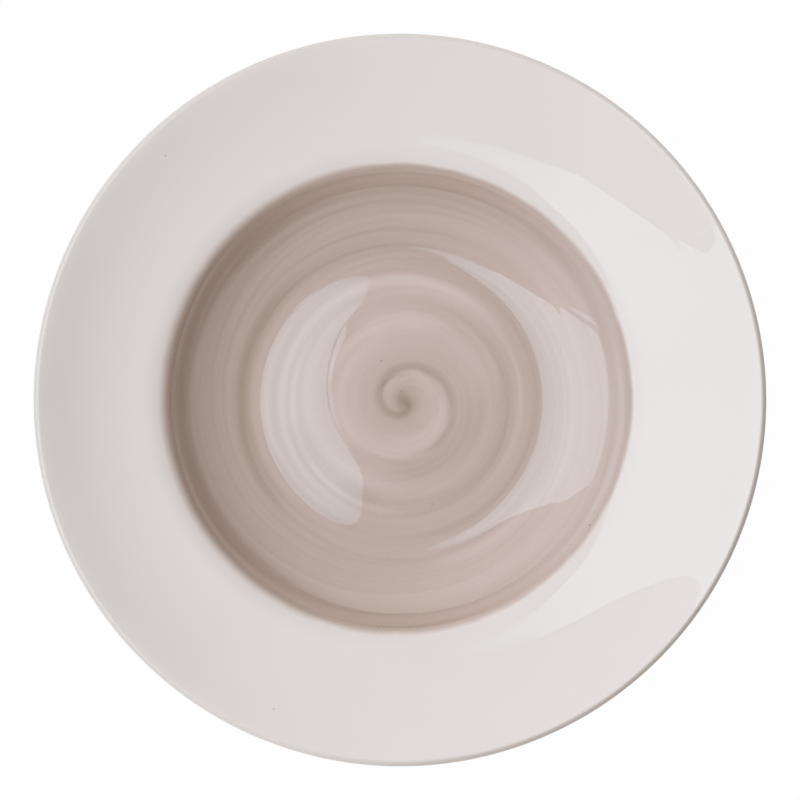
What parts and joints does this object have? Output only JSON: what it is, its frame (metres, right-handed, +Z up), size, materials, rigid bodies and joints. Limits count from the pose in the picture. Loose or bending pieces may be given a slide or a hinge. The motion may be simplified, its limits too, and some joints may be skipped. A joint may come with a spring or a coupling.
{
  "type": "pasta plate",
  "caption": "Round wide-rimmed porcelain pasta plate: a deep well with a gently domed floor, brushed coloured glaze in the well, white glaze elsewhere and a bare foot ring.",
  "frame": {"origin": "centre of the plane that the foot ring rests on", "axes": "+Z up along the axis that the plate is turned about; X and Y are alike, with +Y the top of the picture and +X its right"},
  "size_m": [0.3, 0.3, 0.0402],
  "materials": {
    "bare_porcelain": "unglazed, fine matt bisque",
    "white_glaze": "gloss, clear white glaze",
    "taupe_glaze": "gloss, taupe colour brushed on in a spiral"
  },
  "bodies": {
    "root": {"porcelain_body": "bare_porcelain", "white_glaze": "white_glaze", "well_glaze": "taupe_glaze", "recess_glaze": "white_glaze"}
  },
  "joints": []
}
